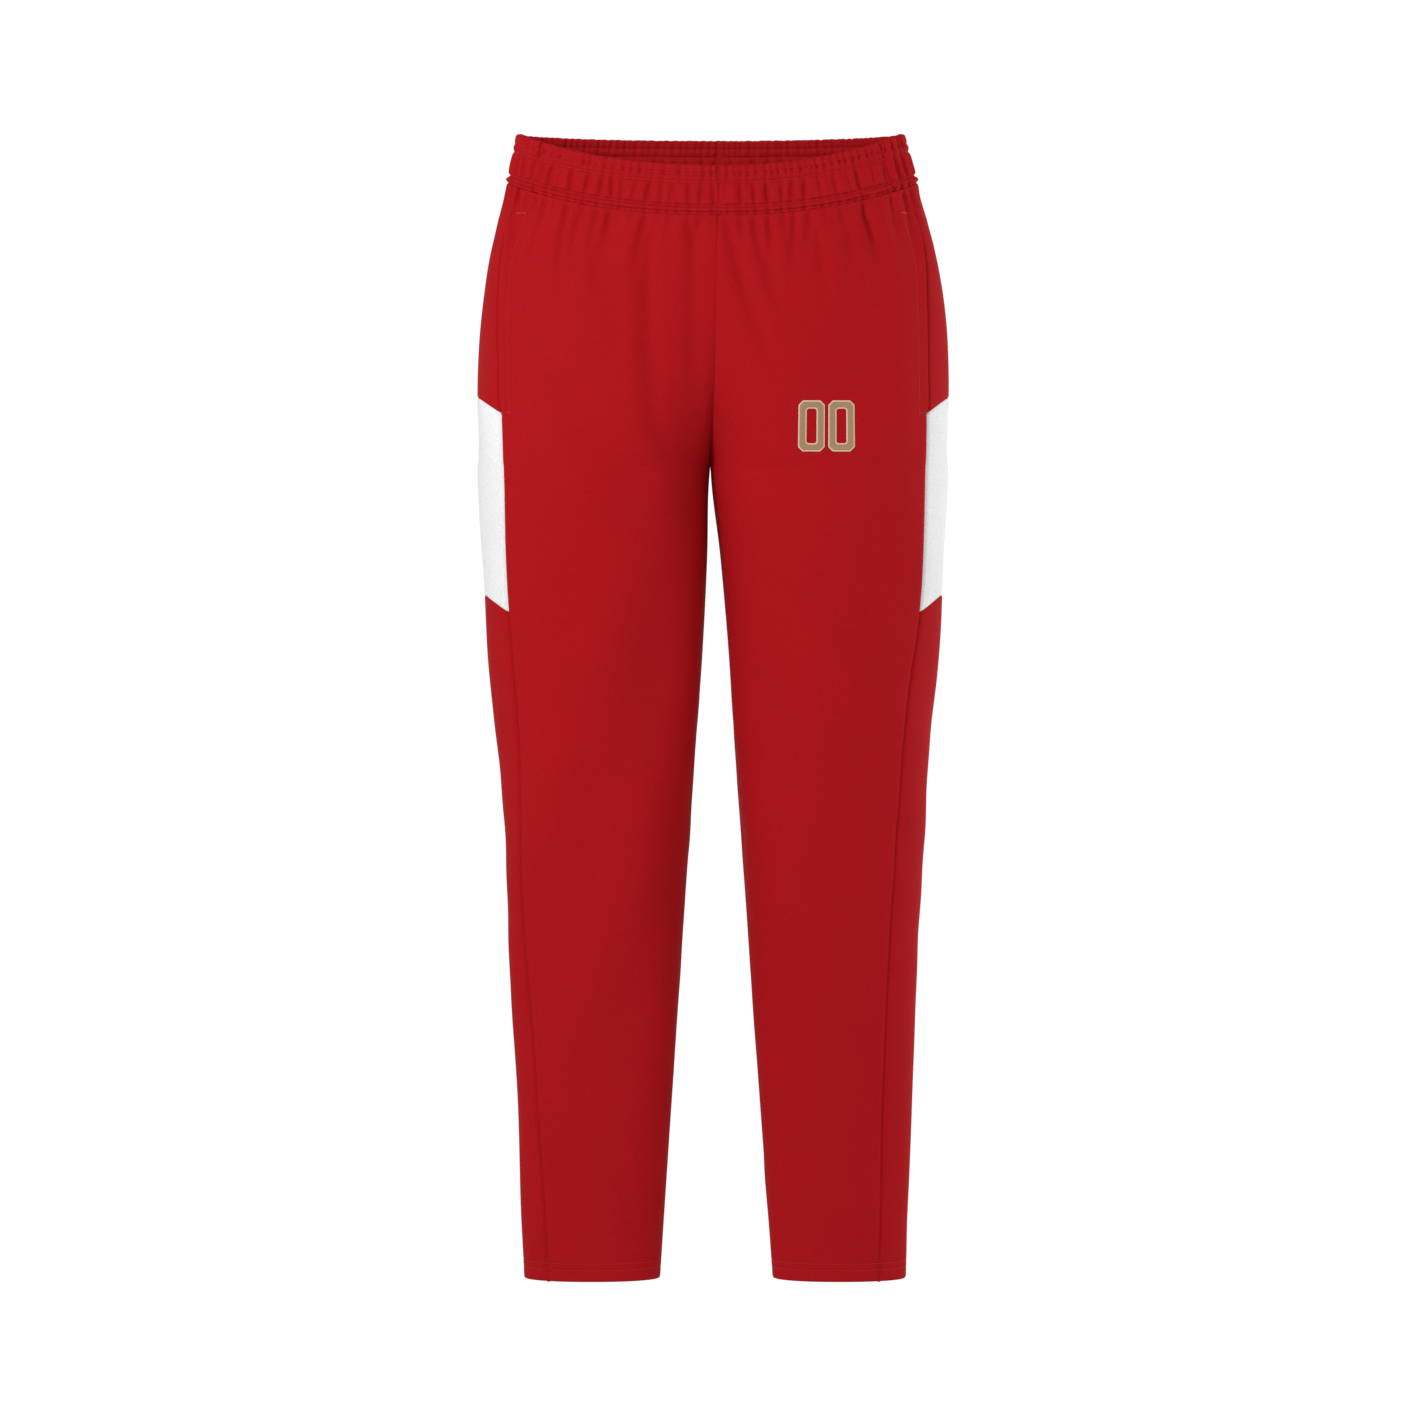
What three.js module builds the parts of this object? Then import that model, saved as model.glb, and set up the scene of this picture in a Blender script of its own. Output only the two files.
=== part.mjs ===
// Knit warm-up pants in the open, hanging shape that they have on a body: front, back and side panels,
// white side inserts, a cased elastic waistband, seam pockets and a two-digit number on the left thigh.
// Millimetres, +Z up, the front faces -Y. Left and right are the wearer's, so left is +X.
// The origin is the middle of the waist opening, level with the waistband's top edge at the sides.
import * as THREE from "three";

// ---- Driving dimensions ----

const CLOTH = 1; // thickness of the shell knit
const LINING = 0.6; // thickness of the pocket lining
const GAP = 0.4; // left between two pieces that are sewn edge to edge
const PLY_GAP = 0.8; // left between two layers of cloth that lie on each other

const BAND_HEIGHT = 43;
const BAND_Z = -BAND_HEIGHT; // the waistband's lower seam at the sides
const FRONT_DIP = 28; // how far the top edge drops at the centre front
const BACK_DIP = 4;
const ELASTIC_HEIGHT = 38;
const ELASTIC_THICK = 1.2;
const ELASTIC_CLEAR = 0.5; // on each side of the elastic, inside its casing

const CROTCH_Z = -303;
const HEM_Z = -1037;
const HEM_TURN = 22; // height of the cloth turned up inside each hem
const LEG_CLEAR = 0.5; // from the centre plane to each leg's inner edge at the crotch
const LEG_SPREAD = 0.069; // how far the inner edge moves out per millimetre below the crotch
const RISE_POWER = 1.5; // how quickly the two legs part on the way down to the crotch
const ROUNDNESS = 2.2; // exponent of the superellipse that each level is cut from

// Half width to the outer edge, and depth in front of and behind the side line, at each level.
const LEVELS = [
  { z: 0, outer: 177, front: 47, back: 50 }, // waist
  { z: BAND_Z, outer: 187, front: 51, back: 57 },
  { z: -130, outer: 206, front: 64, back: 80 },
  { z: -220, outer: 213.5, front: 73, back: 94 }, // hip
  { z: -300, outer: 213.3, front: 75, back: 88 },
  { z: -425, outer: 207, front: 70, back: 74 }, // thigh
  { z: -560, outer: 195, front: 61, back: 63 },
  { z: -700, outer: 187, front: 52, back: 57 }, // knee
  { z: -850, outer: 181, front: 42, back: 53 },
  { z: HEM_Z, outer: 174, front: 31, back: 41 },
];

// How far in from the outer edge the side panel's front seam lies.
const SIDE_INSETS = [
  { z: 0, inset: 10 },
  { z: -90, inset: 12.5 },
  { z: -230, inset: 20 },
  { z: -380, inset: 23 },
  { z: -600, inset: 21.5 },
  { z: -800, inset: 20.5 },
  { z: HEM_Z, inset: 24 },
];
const BACK_INSET_EXTRA = 3;

// The grid of columns round half the body and rows down it: the columns where the seams lie, and the
// rows' heights at the front and back seams of the side panel.
const SIDE_FRONT = 11;
const SIDE_BACK = 16;
const CENTRE_BACK = 27;
const BAND_SEAM = 10; // the waistband's own side seam
const SEAM_CLEAR = 0.02; // share of a column left clear on each side of a seam
const INSERT_TOP = -252; // the ends of the white insert at the front seam
const INSERT_BOTTOM = -430;
const INSERT_SLANT = 30; // how much higher those ends are at the back seam
const ROWS = [
  ...[BAND_Z, -72, -105, -140, -175, -205, -230, INSERT_TOP, -272, -287, -297, CROTCH_Z, -310],
  ...[-325, -350, -390, INSERT_BOTTOM, -480, -540, -610, -680, -750, -820, -890, -960, HEM_Z],
];
const INSERT_TOP_ROW = ROWS.indexOf(INSERT_TOP);
const INSERT_BOTTOM_ROW = ROWS.indexOf(INSERT_BOTTOM);
const HEM_ROW = ROWS.indexOf(HEM_Z);

const POCKET_TOP = -72; // the ends of the pocket's mouth
const POCKET_BOTTOM = -250;
const BAG_COLUMN = 4; // the bag's inner edge
const BAG_ROW = ROWS.indexOf(-287); // its bottom
const BAG_CORNER = 30;
const FACING_ROW = ROWS.indexOf(-272);
const FACING_COLUMN = 9;
const BARTACK = { length: 11, height: 1.8, thick: 0.6 };
const FILM = 0.3; // thickness of each layer of the heat-pressed number
const DIGIT = { width: 23.4, height: 45.4, stroke: 7.3, corner: 4, edge: 1.1, space: 3.2 };
const NUMBER_X = 101; // centre of the number on the left thigh
const NUMBER_Z = -264;

const LEFT = 1;
const RIGHT = -1;
const ARC_STEPS = 48; // steps in which the length of a curve of the body is measured

// ---- Materials ----

const cloth = (colour) => new THREE.MeshStandardMaterial({ color: colour, roughness: 0.85, metalness: 0 });
const redKnit = cloth(0xae1e23);
const whiteKnit = cloth(0xf0f0ee);
const redLining = cloth(0xa11a1f);
const elasticWeave = cloth(0xe8e6e0);
const redThread = cloth(0xb8262b);
const creamFilm = new THREE.MeshStandardMaterial({ color: 0xf3dcc4, roughness: 0.5, metalness: 0 });
const goldFilm = new THREE.MeshStandardMaterial({ color: 0xb0906a, roughness: 0.5, metalness: 0 });

// ---- The shape of the body: a superellipse at each level for each leg ----

// A smooth curve through the rows' values of one key.
function along(rows, key, z) {
  const last = rows.length - 1;
  if (z >= rows[0].z) return rows[0][key];
  if (z <= rows[last].z) return rows[last][key];
  const i = rows.findIndex((row, n) => n < last && z <= row.z && z > rows[n + 1].z);
  const slope = (n) => {
    const a = rows[Math.max(n - 1, 0)];
    const b = rows[Math.min(n + 1, last)];
    return (b[key] - a[key]) / (b.z - a.z);
  };
  const span = rows[i + 1].z - rows[i].z;
  const t = (z - rows[i].z) / span;
  const [t2, t3] = [t * t, t * t * t];
  return (
    rows[i][key] * (2 * t3 - 3 * t2 + 1) +
    slope(i) * span * (t3 - 2 * t2 + t) +
    rows[i + 1][key] * (3 * t2 - 2 * t3) +
    slope(i + 1) * span * (t3 - t2)
  );
}

// Each leg's inner edge. Above the crotch the two legs' shapes overlap at the centre, more and more
// towards the waist, where both are the same oval.
function innerEdge(z) {
  if (z <= CROTCH_Z) return LEG_CLEAR + LEG_SPREAD * (CROTCH_Z - z);
  const t = Math.min(1, (z - CROTCH_Z) / (BAND_Z - CROTCH_Z));
  return LEG_CLEAR - (along(LEVELS, "outer", z) + LEG_CLEAR) * t ** RISE_POWER;
}

function levelAt(z) {
  const outer = along(LEVELS, "outer", z);
  const inner = innerEdge(z);
  return {
    centre: (outer + inner) / 2,
    half: (outer - inner) / 2,
    front: along(LEVELS, "front", z),
    back: along(LEVELS, "back", z),
  };
}

const bend = (value, power) => Math.sign(value) * Math.abs(value) ** power;

// A point at an angle round one leg, moved in from the outer surface by depth. Angle 0 is the outer
// side, negative angles are the front and positive ones the back.
function skin(side, z, angle, depth = 0) {
  const { centre, half, front, back } = levelAt(z);
  const reach = angle < 0 ? front : back;
  const [c, s] = [Math.cos(angle), Math.sin(angle)];
  const normal = new THREE.Vector2(
    bend(c, 2 - 2 / ROUNDNESS) / half,
    bend(s, 2 - 2 / ROUNDNESS) / reach,
  ).normalize();
  const x = centre + half * bend(c, 2 / ROUNDNESS) - normal.x * depth;
  const y = reach * bend(s, 2 / ROUNDNESS) - normal.y * depth;
  return new THREE.Vector3(side * x, y, z);
}

// The angle at which a level reaches a distance x from the centre plane.
function angleAtX(z, x) {
  const { centre, half } = levelAt(z);
  const c = THREE.MathUtils.clamp((x - centre) / half, -1, 1);
  return Math.acos(bend(c, ROUNDNESS / 2));
}

// The centre seam above the crotch, and the inseam below it.
const seamAngle = (z) => Math.min(angleAtX(z, GAP / 2), Math.PI - GAP / 2 / levelAt(z).half);
const sideAngle = (z, extra = 0) =>
  angleAtX(z, along(LEVELS, "outer", z) - along(SIDE_INSETS, "inset", z) - extra);

// The angle a share of the way along the cloth from one angle to another.
function angleBetween(z, from, to, share) {
  const lengths = [0];
  let last = skin(LEFT, z, from);
  for (let i = 1; i <= ARC_STEPS; i++) {
    const next = skin(LEFT, z, from + ((to - from) * i) / ARC_STEPS);
    lengths.push(lengths[i - 1] + next.distanceTo(last));
    last = next;
  }
  const wanted = share * lengths[ARC_STEPS];
  const past = lengths.findIndex((length) => length > wanted);
  const i = past < 1 ? ARC_STEPS - 1 : past - 1;
  const index = i + (wanted - lengths[i]) / (lengths[i + 1] - lengths[i]);
  return from + ((to - from) * index) / ARC_STEPS;
}

// ---- The grid that the pieces share ----

// Columns run round one half of the body from the centre front to the centre back, and rows run down it.
// A column is a real number, so a piece can stop a little short of a seam.
function columnAngle(z, column) {
  const [frontSeam, backSeam] = [-sideAngle(z), sideAngle(z, BACK_INSET_EXTRA)];
  if (column <= SIDE_FRONT) return angleBetween(z, -seamAngle(z), frontSeam, column / SIDE_FRONT);
  if (column <= SIDE_BACK) {
    return angleBetween(z, frontSeam, backSeam, (column - SIDE_FRONT) / (SIDE_BACK - SIDE_FRONT));
  }
  return angleBetween(z, backSeam, seamAngle(z), (column - SIDE_BACK) / (CENTRE_BACK - SIDE_BACK));
}

// The height of the waistband's top edge at an angle of the waist's oval.
function bandTop(angle) {
  const dip = angle < 0 ? FRONT_DIP : BACK_DIP;
  return -dip * Math.sin(angle) ** 2;
}

// The height of the waistband's lower seam at a column.
const bandSeam = (column) => BAND_Z + bandTop(columnAngle(BAND_Z, column));

// The height of a row at a column. The rows tilt across the side panel, so that two of them are the
// slanted ends of the white insert, and the first row follows the waistband's lower seam.
function rowHeight(row, column) {
  const z = ROWS[row];
  const fromBand = Math.min(1, (BAND_Z - z) / (BAND_Z - INSERT_TOP));
  const fromHem = Math.min(1, (z - HEM_Z) / (INSERT_BOTTOM - HEM_Z));
  const across = THREE.MathUtils.clamp((column - SIDE_FRONT) / (SIDE_BACK - SIDE_FRONT), 0, 1);
  const slant = INSERT_SLANT * Math.min(fromBand, fromHem) * across;
  return z + slant + (1 - fromBand) * (bandSeam(column) - PLY_GAP - BAND_Z);
}

// The columns of a piece between two seams, each end a little short of its seam.
const columnsBetween = (from, to) => {
  const inner = Array.from({ length: CENTRE_BACK + 1 }, (_, i) => i).filter((i) => i > from && i < to);
  return [from + SEAM_CLEAR, ...inner, to - SEAM_CLEAR];
};

// ---- Cloth solids ----

const root = new THREE.Group();

function add(name, geometry, material) {
  const mesh = new THREE.Mesh(geometry, material);
  mesh.name = name;
  root.add(mesh);
  return mesh;
}

// Sweeps a strip of cloth across the columns. Its outer and inner walls are two lists of profile points
// of the same length, each point [row, lift, depth], and place puts a column's point in space. The
// columns close on themselves when ring is true.
function sweep({ outer, inner }, columns, place, ring = false) {
  const rows = outer.length;
  const points = columns.flatMap((column) => [...outer, ...inner].map((point) => place(column, ...point)));
  const faces = [];
  const quad = (p, q, r, s) => faces.push([p, q, r], [p, r, s]);
  const wall = (i, j) => [2 * rows * i + j, 2 * rows * i + rows + j];
  const last = columns.length - 1;
  for (let i = 0; i < (ring ? last + 1 : last); i++) {
    const next = (i + 1) % columns.length;
    for (let j = 0; j < rows - 1; j++) {
      const [[a, inA], [b, inB]] = [wall(i, j), wall(i, j + 1)];
      const [[c, inC], [d, inD]] = [wall(next, j), wall(next, j + 1)];
      quad(a, b, d, c);
      quad(inA, inC, inD, inB);
    }
    const [[a, inA], [c, inC]] = [wall(i, 0), wall(next, 0)];
    quad(a, c, inC, inA);
    const [[b, inB], [d, inD]] = [wall(i, rows - 1), wall(next, rows - 1)];
    quad(d, b, inB, inD);
  }
  for (let j = 0; j < rows - 1 && !ring; j++) {
    const [[a, inA], [b, inB]] = [wall(0, j), wall(0, j + 1)];
    quad(b, a, inA, inB);
    const [[c, inC], [d, inD]] = [wall(last, j), wall(last, j + 1)];
    quad(c, d, inD, inC);
  }
  return closedGeometry(points, faces);
}

// A geometry from points and faces, turned so that it faces out.
function closedGeometry(points, faces) {
  const volume = faces.reduce((sum, [a, b, c]) => sum + points[a].dot(points[b].clone().cross(points[c])), 0);
  const outward = volume < 0 ? faces.map((face) => face.toReversed()) : faces;
  const geometry = new THREE.BufferGeometry().setFromPoints(points);
  geometry.setIndex(outward.flat());
  geometry.computeVertexNormals();
  return geometry;
}

// A layer of cloth between two rows, whose outside lies at a depth. Its ends can be moved up or down.
function layer(from, to, depth, thick, topLift = 0, bottomLift = 0) {
  const rows = Array.from({ length: to - from + 1 }, (_, i) => from + i);
  const lift = (row) => (row === from ? topLift : row === to ? bottomLift : 0);
  return {
    outer: rows.map((row) => [row, lift(row), depth]),
    inner: rows.map((row) => [row, lift(row), depth + thick]),
  };
}

// The same, but down to the last row, where it turns up inside as a hem does.
function hemmed(from, topLift = 0) {
  const turned = CLOTH + PLY_GAP;
  const { outer, inner } = layer(from, HEM_ROW, 0, CLOTH, topLift);
  outer.push([HEM_ROW, 0, turned + CLOTH], [HEM_ROW, HEM_TURN, turned + CLOTH]);
  inner.splice(-1, 1, [HEM_ROW, CLOTH, CLOTH], [HEM_ROW, CLOTH, turned], [HEM_ROW, HEM_TURN, turned]);
  return { outer, inner };
}

// Puts a profile's point on one half of the body.
const onBody = (side) => (column, row, lift, depth) => {
  const z = rowHeight(row, column) + lift;
  return skin(side, z, columnAngle(z, column), depth);
};

// Puts a profile's point on the waistband, where lift is measured from the top edge.
const onBand = (side) => (column, _, lift, depth) => {
  const z = bandSeam(column) + BAND_HEIGHT + lift;
  return skin(side, z, columnAngle(z, column), depth);
};

// ---- Panels ----

function addPanels(side, label) {
  const place = onBody(side);
  add(`front_panel_${label}`, sweep(hemmed(0), columnsBetween(0, SIDE_FRONT), place), redKnit);
  add(`back_panel_${label}`, sweep(hemmed(0), columnsBetween(SIDE_BACK, CENTRE_BACK), place), redKnit);
  const columns = columnsBetween(SIDE_FRONT, SIDE_BACK);
  const upper = layer(0, INSERT_TOP_ROW, 0, CLOTH, 0, GAP);
  add(`side_panel_upper_${label}`, sweep(upper, columns, place), redKnit);
  const insert = layer(INSERT_TOP_ROW, INSERT_BOTTOM_ROW, 0, CLOTH);
  add(`side_insert_${label}`, sweep(insert, columns, place), whiteKnit);
  const lower = hemmed(INSERT_BOTTOM_ROW, -GAP);
  add(`side_panel_lower_${label}`, sweep(lower, columns, place), redKnit);
}

// ---- Waistband: a folded casing in four pieces round one loop of elastic ----

// The casing's cross section: a strip of cloth folded over at the top, open at the bottom.
function casing() {
  const deep = 2 * CLOTH + ELASTIC_THICK + 2 * ELASTIC_CLEAR;
  // The path of one face of the cloth, a distance in from its outer face, with the fold's corners cut.
  const path = (distance, cut) => [
    [0, -BAND_HEIGHT, distance],
    [0, -distance - cut, distance],
    [0, -distance, distance + cut],
    [0, -distance, deep - distance - cut],
    [0, -distance - cut, deep - distance],
    [0, -BAND_HEIGHT, deep - distance],
  ];
  return { outer: path(0, 1), inner: path(CLOTH, 0.5) };
}

function addWaistband(side, label) {
  const place = onBand(side);
  add(`waistband_front_${label}`, sweep(casing(), columnsBetween(0, BAND_SEAM), place), redKnit);
  add(`waistband_back_${label}`, sweep(casing(), columnsBetween(BAND_SEAM, CENTRE_BACK), place), redKnit);
}

function addElastic() {
  const outside = CLOTH + ELASTIC_CLEAR;
  const bottom = ELASTIC_CLEAR - BAND_HEIGHT;
  const wall = (depth) => [[0, bottom + ELASTIC_HEIGHT, depth], [0, bottom, depth]];
  const columns = Array.from({ length: CENTRE_BACK + 1 }, (_, column) => column);
  const loop = [
    ...columns.map((column) => [LEFT, column]),
    ...columns.slice(1, -1).toReversed().map((column) => [RIGHT, column]),
  ];
  const place = ([side, column], ...point) => onBand(side)(column, ...point);
  const strip = { outer: wall(outside), inner: wall(outside + ELASTIC_THICK) };
  add("waist_elastic", sweep(strip, loop, place, true), elasticWeave);
}

// ---- Pockets: a two-layer bag behind the front panel, with a facing at its mouth ----

function addPocket(side, label) {
  const place = onBody(side);
  // The bag's lower inner corner is rounded.
  const onBag = (column, row, lift, depth) => {
    const inwards = Math.max(0, BAG_COLUMN + 2 - column) / 2;
    return place(column, row, row === BAG_ROW ? BAG_CORNER * inwards ** 2 : lift, depth);
  };
  const columns = columnsBetween(BAG_COLUMN, SIDE_FRONT);
  const bagFront = CLOTH + PLY_GAP;
  const facing = bagFront + LINING + PLY_GAP;
  const bagBack = facing + CLOTH + PLY_GAP;
  const lining = (depth) => layer(0, BAG_ROW, depth, LINING, -PLY_GAP);
  add(`pocket_bag_front_${label}`, sweep(lining(bagFront), columns, onBag), redLining);
  add(`pocket_bag_back_${label}`, sweep(lining(bagBack), columns, onBag), redLining);
  const strip = layer(0, FACING_ROW, facing, CLOTH, -PLY_GAP);
  const narrow = columnsBetween(FACING_COLUMN, SIDE_FRONT);
  add(`pocket_facing_${label}`, sweep(strip, narrow, place), redKnit);
}

// ---- Flat trim: bartacks and the number ----

// Sets a flat mesh, drawn in its own XY plane, tangent to the outer surface and clear of it.
function layOn(mesh, side, z, angle, clear) {
  const step = 0.01;
  const across = skin(side, z, angle + step).sub(skin(side, z, angle - step)).multiplyScalar(side);
  const up = skin(side, z + 1, angle).sub(skin(side, z - 1, angle)).normalize();
  const right = across.normalize();
  const normal = right.clone().cross(up).normalize();
  up.copy(normal).cross(right);
  mesh.quaternion.setFromRotationMatrix(new THREE.Matrix4().makeBasis(right, up, normal));
  mesh.position.copy(skin(side, z, angle)).addScaledVector(normal, clear);
}

function addBartacks(side, label) {
  for (const [end, z] of [["top", POCKET_TOP], ["bottom", POCKET_BOTTOM]]) {
    const geometry = new THREE.BoxGeometry(BARTACK.length, BARTACK.height, BARTACK.thick);
    const mesh = add(`pocket_bartack_${end}_${label}`, geometry, redThread);
    const middle = along(LEVELS, "outer", z) - along(SIDE_INSETS, "inset", z) - BARTACK.length / 3;
    layOn(mesh, side, z, -angleAtX(z, middle), GAP + BARTACK.thick);
  }
}

// A rectangle with cut corners, centred on the origin.
function cutRectangle(width, height, corner) {
  const [x, y] = [width / 2, height / 2];
  const points = [
    [x - corner, -y],
    [x, corner - y],
    [x, y - corner],
    [x - corner, y],
    [corner - x, y],
    [-x, y - corner],
    [-x, corner - y],
    [corner - x, -y],
  ];
  return points.map(([px, py]) => new THREE.Vector2(px, py));
}

// A block zero, drawn in by edge all round.
function zeroGeometry(edge) {
  const { width, height, stroke, corner } = DIGIT;
  const shape = new THREE.Shape(cutRectangle(width - 2 * edge, height - 2 * edge, corner - edge / 2));
  const hole = cutRectangle(width - 2 * stroke + 2 * edge, height - 2 * stroke + 2 * edge, corner / 3 + edge / 2);
  shape.holes.push(new THREE.Path(hole));
  return new THREE.ExtrudeGeometry(shape, { depth: FILM, bevelEnabled: false });
}

function addNumber() {
  const step = (DIGIT.width + DIGIT.space) / 2;
  for (const [place, x] of [["first", NUMBER_X - step], ["second", NUMBER_X + step]]) {
    const angle = -angleAtX(NUMBER_Z, x);
    const backing = add(`number_${place}_digit_backing`, zeroGeometry(0), creamFilm);
    layOn(backing, LEFT, NUMBER_Z, angle, GAP);
    const face = add(`number_${place}_digit_face`, zeroGeometry(DIGIT.edge), goldFilm);
    layOn(face, LEFT, NUMBER_Z, angle, 2 * GAP + FILM);
  }
}

// ---- Assembly ----

for (const [side, label] of [[LEFT, "left"], [RIGHT, "right"]]) {
  addPanels(side, label);
  addWaistband(side, label);
  addPocket(side, label);
  addBartacks(side, label);
}
addElastic();
addNumber();

export default root;
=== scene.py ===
"""Knit warm-up pants as sewn cloth: gathered waistband, panels with folds, seams, hems, stitches and number.

Lengths are millimetres until a mesh is made, and metres in the studio. +X is the wearer's left, -Y the
front and +Z up.
"""

import math
import random

import bpy
import numpy as np
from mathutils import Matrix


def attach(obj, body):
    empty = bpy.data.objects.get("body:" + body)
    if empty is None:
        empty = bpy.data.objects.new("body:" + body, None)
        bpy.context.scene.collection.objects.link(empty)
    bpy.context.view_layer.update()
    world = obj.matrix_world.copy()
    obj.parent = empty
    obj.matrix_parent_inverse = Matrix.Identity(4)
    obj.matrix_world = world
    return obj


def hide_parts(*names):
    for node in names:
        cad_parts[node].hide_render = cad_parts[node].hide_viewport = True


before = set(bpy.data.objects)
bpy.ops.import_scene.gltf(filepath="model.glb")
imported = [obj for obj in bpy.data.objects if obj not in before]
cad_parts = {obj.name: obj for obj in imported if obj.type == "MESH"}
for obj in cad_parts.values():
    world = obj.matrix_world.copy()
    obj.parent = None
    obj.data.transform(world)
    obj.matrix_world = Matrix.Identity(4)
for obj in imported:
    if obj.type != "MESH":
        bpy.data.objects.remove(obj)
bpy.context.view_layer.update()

MM = 0.001
ROOT = "root"
LEFT, RIGHT = 1, -1
LABEL = {LEFT: "left", RIGHT: "right"}

# ---- The body's shape, close to the CAD model's ----

BAND_HEIGHT = 44.5
BAND_GAP = 0.2
FRONT_DIP, BACK_DIP = 31, 2
CROTCH_Z, HEM_Z, HEM_TURN = -303, -1037, 22
# Heights that set the spacing of the rows: the top of the front and back panels and of the side panel,
# and where the close rows of the hem start.
PANEL_TOP_Z, SIDE_TOP_Z = -60, -45
HEM_FINE_Z = -1012
LEG_CLEAR, LEG_SPREAD, RISE_POWER = 0.5, 0.069, 1.5
ROUNDNESS = 2.2
GAP = 0.01
# Heights of the hem's two rows of stitches above its edge.
HEM_ROWS = (10.5, 16.5)

# Height, half width to the outer edge, depth in front of the side line and depth behind it.
LEVELS = np.array(
    [
        (0, 175, 47, 50),
        (-43, 185.5, 51, 57),
        (-130, 205.5, 64, 80),
        (-220, 212.5, 73, 94),
        (-300, 211.8, 75, 88),
        (-425, 207, 70, 74),
        (-560, 195, 61, 63),
        (-700, 187, 52, 57),
        (-850, 181, 42, 53),
        (HEM_Z, 174, 31, 41),
    ],
    float,
)
# Height, then how far in from the outer edge the front side seam lies on the left and on the right.
SIDE_INSETS = np.array(
    [
        (0, 12, 12),
        (-97, 11, 12),
        (-150, 16, 16.5),
        (-230, 19.5, 21.5),
        (-425, 20, 23.5),
        (-510, 24.5, 20.5),
        (-600, 25.7, 16.3),
        (-740, 27.5, 14),
        (-860, 28, 19),
        (-960, 26, 22),
        (HEM_Z, 25, 22.5),
    ],
    float,
)
# Height, then how far to its left the whole garment hangs there, and how much further its centre seam.
SWAY = np.array(
    [
        (0, -3.2, 8),
        (-43, -1.5, 6),
        (-130, -1.2, 3),
        (-220, -1, 1.5),
        (-310, -0.6, -2.8),
        (-379, -1.2, 1),
        (-470, -0.7, 2.4),
        (-560, 0, 1.2),
        (-833, 0.5, 1.3),
        (HEM_Z, 1, 2),
    ],
    float,
)
SWAY_REACH = 75
BACK_INSET_EXTRA = 3

# Columns run round one half of the body from the centre front to the centre back.
SIDE_FRONT, SIDE_BACK, CENTRE_BACK = 11, 16, 27
BAND_SEAM = 10
INSERT_TOP, INSERT_BOTTOM, INSERT_SLANT, INSERT_WAVE = -252, -430, 30, 4.5
POCKET_TOP, POCKET_BOTTOM = -72, -250
BAG_COLUMN, BAG_BOTTOM = 4, -287
FACING_COLUMN, FACING_BOTTOM = 9, -270

CLOTH = 0.8
LINING = 0.5
# How much cloth is turned in along a piece's long edges and at its ends.
SEAM_ALLOWANCE, END_ALLOWANCE = 4, 3


def curve(z, table, column):
    """A smooth curve through one column of a table whose first column is the height."""
    drop, value = -table[:, 0], table[:, column]
    slope = np.gradient(value, drop)
    slope[1:-1] = (value[2:] - value[:-2]) / (drop[2:] - drop[:-2])
    x = np.clip(-np.asarray(z, float), drop[0], drop[-1])
    i = np.clip(np.searchsorted(drop, x, "right") - 1, 0, len(drop) - 2)
    span = drop[i + 1] - drop[i]
    t = (x - drop[i]) / span
    start = value[i] * (2 * t**3 - 3 * t**2 + 1) + slope[i] * span * (t**3 - 2 * t**2 + t)
    return start + value[i + 1] * (3 * t**2 - 2 * t**3) + slope[i + 1] * span * (t**3 - t**2)


def section(z):
    """The centre, half width, front depth and back depth of one leg's superellipse at a height."""
    z = np.asarray(z, float)
    outer = curve(z, LEVELS, 1)
    above = np.clip((z - CROTCH_Z) / (-BAND_HEIGHT - CROTCH_Z), 0, 1)
    inner_above = LEG_CLEAR - (outer + LEG_CLEAR) * above**RISE_POWER
    inner = np.where(z > CROTCH_Z, inner_above, LEG_CLEAR + LEG_SPREAD * (CROTCH_Z - z))
    return (outer + inner) / 2, (outer - inner) / 2, curve(z, LEVELS, 2), curve(z, LEVELS, 3)


def bend(value, power):
    """A power that keeps the sign."""
    return np.sign(value) * np.abs(value) ** power


def skin(z, angle, depth=0.0):
    """X and Y on the left half at an angle round the leg, moved in from the outer surface by depth."""
    centre, half, front, back = section(z)
    reach = np.where(angle < 0, front, back)
    c, s = np.cos(angle), np.sin(angle)
    nx = bend(c, 2 - 2 / ROUNDNESS) / half
    ny = bend(s, 2 - 2 / ROUNDNESS) / reach
    length = np.hypot(nx, ny)
    x = centre + half * bend(c, 2 / ROUNDNESS) - nx / length * depth
    y = reach * bend(s, 2 / ROUNDNESS) - ny / length * depth
    return x, y


def angle_at_x(z, x):
    """The angle round the leg at which the outer surface is at a given X."""
    centre, half, _, _ = section(z)
    return np.arccos(bend(np.clip((x - centre) / half, -1, 1), ROUNDNESS / 2))


def seam_angle(z):
    """The angle between the outer side and the centre seam."""
    return np.minimum(angle_at_x(z, GAP / 2), math.pi - GAP / 2 / section(z)[1])


def side_angle(z, side, extra=0):
    """The angle of a side seam, which lies in from the outer edge by its inset and an extra."""
    inset = curve(z, SIDE_INSETS, 1 if side == LEFT else 2)
    return angle_at_x(z, curve(z, LEVELS, 1) - inset - extra)


TABLE_Z = np.arange(6, -1044, -1.5)
STEPS_IN_COLUMN = 10
TABLE_COLUMNS = np.linspace(0, CENTRE_BACK, STEPS_IN_COLUMN * CENTRE_BACK + 1)


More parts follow.
